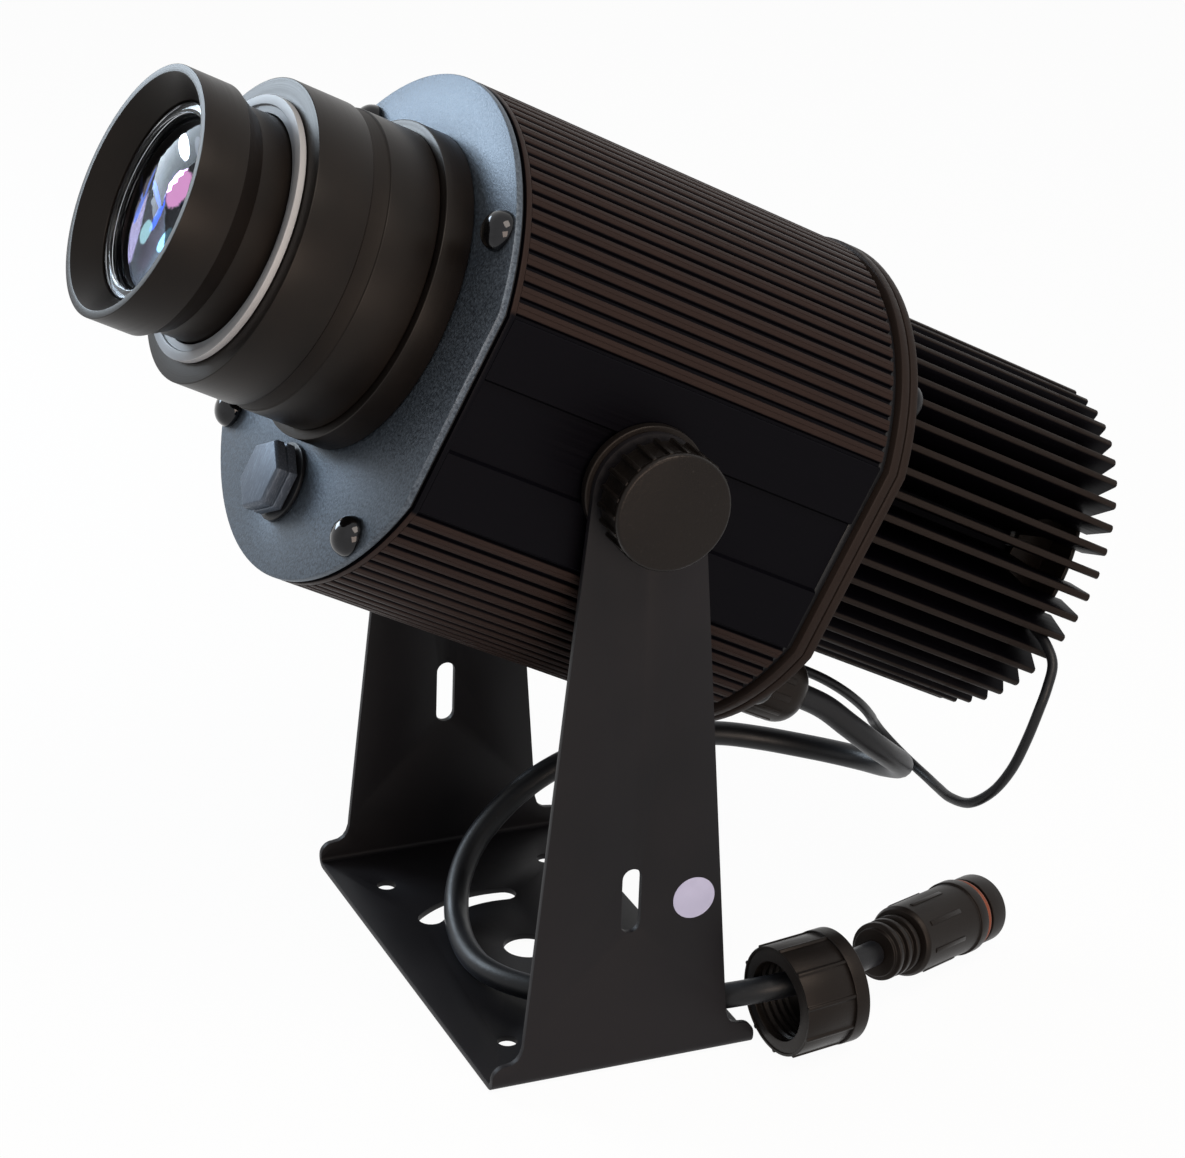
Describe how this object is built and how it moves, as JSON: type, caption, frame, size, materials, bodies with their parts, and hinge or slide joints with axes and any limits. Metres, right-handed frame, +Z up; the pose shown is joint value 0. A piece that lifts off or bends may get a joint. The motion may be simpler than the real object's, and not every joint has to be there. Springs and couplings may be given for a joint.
{
  "type": "gobo projector",
  "caption": "Outdoor gobo projector: ribbed round housing, stepped focus barrel and finned heat sink with fan, tilting in a U bracket between hand knobs, with a power cable and plug.",
  "frame": {"origin": "middle of the underside of the bounding box, measured without the cords, so on the floor that the bracket stands on", "axes": "+Z up, +X along the pivot axis towards the near knob, -Y the way the lens points when level"},
  "size_m": [0.2038, 0.3412, 0.3101],
  "materials": {
    "anodised_body": "satin",
    "machined_optics": "satin",
    "front_cover": "satin",
    "painted_bracket": "satin",
    "black_steel": "gloss",
    "bright_steel": "satin",
    "black_plastic": "satin",
    "black_rubber": "satin",
    "orange_seal": "satin",
    "sticker": "satin",
    "lens_glass": "polished",
    "clear_plastic": "gloss",
    "bare_aluminium": "satin",
    "white_board": "satin",
    "phosphor": "satin"
  },
  "bodies": {
    "bracket": {"bracket": "painted_bracket", "round_sticker": "sticker", "power_cable": "black_rubber", "connector_body": "black_plastic", "connector_oring": "orange_seal"},
    "coupling_nut": {"connector_nut": "black_plastic"},
    "head": {"near_spacer_disc": "black_plastic", "far_spacer_disc": "black_plastic", "housing": "anodised_body", "front_gasket": "black_rubber", "front_plate": "front_cover", "rear_gasket": "black_rubber", "rear_end_frame": "anodised_body", "rear_plate": "anodised_body", "front_screw_1": "black_steel", "front_screw_2": "black_steel", "front_screw_3": "black_steel", "front_screw_4": "black_steel", "rear_screw_1": "black_steel", "rear_screw_2": "black_steel", "rear_screw_3": "black_steel", "rear_screw_4": "black_steel", "hex_plug": "black_plastic", "plug_seal": "black_rubber", "led_driver": "bare_aluminium", "cable_gland": "black_plastic", "gland_nut": "black_plastic", "lead_grommet": "black_rubber", "lens_flange": "machined_optics", "lens_tube": "machined_optics", "led_board": "white_board", "led_emitter": "phosphor", "condenser_barrel": "bare_aluminium", "condenser_lens_rear": "lens_glass", "condenser_spacer": "bare_aluminium", "condenser_lens_front": "lens_glass", "gobo_holder": "bare_aluminium", "gobo_disc": "black_steel", "engine_screw_1": "bright_steel", "engine_screw_2": "bright_steel", "heat_sink": "anodised_body", "fan_frame": "black_plastic", "fan_screw_1": "black_steel", "fan_screw_2": "black_steel", "fan_screw_3": "black_steel", "fan_screw_4": "black_steel", "fan_lead": "black_rubber"},
    "near_washer": {"near_knob_washer": "black_steel"},
    "near_knob": {"near_knob": "black_plastic", "near_knob_stud": "bright_steel"},
    "far_washer": {"far_knob_washer": "black_steel"},
    "far_knob": {"far_knob": "black_plastic", "far_knob_stud": "bright_steel"},
    "lock_ring": {"lock_ring": "machined_optics"},
    "lens_cell": {"rear_lens": "lens_glass", "lens_spacer": "machined_optics", "front_lens": "lens_glass", "lens_retaining_ring": "clear_plastic"},
    "focus_barrel": {"focus_barrel": "machined_optics"},
    "fan_rotor": {"fan_rotor": "black_plastic"}
  },
  "joints": [
    {"name": "head_tilt", "type": "hinge", "parent": "bracket", "child": "head", "pos_m": [0, -0.02178, 0.1955], "axis": [-1, 0, 0], "range_deg": [-75, 45], "deforming": ["power_cable", "fan_lead"]},
    {"name": "near_knob_travel", "type": "slide", "parent": "head", "child": "near_washer", "axis": [1, 0, 0], "range_m": [0, 0.0025]},
    {"name": "near_knob_turn", "type": "hinge", "parent": "near_washer", "child": "near_knob", "pos_m": [0.09, -0.02178, 0.1955], "axis": [1, 0, 0], "range_deg": [0, 720]},
    {"name": "far_knob_travel", "type": "slide", "parent": "head", "child": "far_washer", "axis": [-1, 0, 0], "range_m": [0, 0.0025]},
    {"name": "far_knob_turn", "type": "hinge", "parent": "far_washer", "child": "far_knob", "pos_m": [-0.09, -0.02178, 0.1955], "axis": [-1, 0, 0], "range_deg": [0, 720]},
    {"name": "lock_ring_turn", "type": "hinge", "parent": "head", "child": "lock_ring", "pos_m": [0, -0.01645, 0.20603], "axis": [0, -0.8921, 0.4518], "range_deg": [0, 60]},
    {"name": "focus_travel", "type": "slide", "parent": "head", "child": "lens_cell", "axis": [0, -0.8921, 0.4518], "range_m": [-0.008, 0.012]},
    {"name": "focus_turn", "type": "hinge", "parent": "lens_cell", "child": "focus_barrel", "pos_m": [0, -0.01645, 0.20603], "axis": [0, -0.8921, 0.4518], "range_deg": [-720, 1080]},
    {"name": "fan_spin", "type": "hinge", "parent": "head", "child": "fan_rotor", "pos_m": [0, -0.01645, 0.20603], "axis": [0, -0.8921, 0.4518], "continuous": true},
    {"name": "nut_turn", "type": "hinge", "parent": "bracket", "child": "coupling_nut", "pos_m": [0.0853, 0.03802, 0.0187], "axis": [-0.1616, 0.9869, 0], "continuous": true}
  ],
  "couplings": [
    {"joint": "near_knob_turn", "follows": "near_knob_travel", "rad_per_m": 5026.5},
    {"joint": "far_knob_turn", "follows": "far_knob_travel", "rad_per_m": 5026.5},
    {"joint": "focus_travel", "follows": "focus_turn", "m_per_rad": 0.0006366}
  ]
}
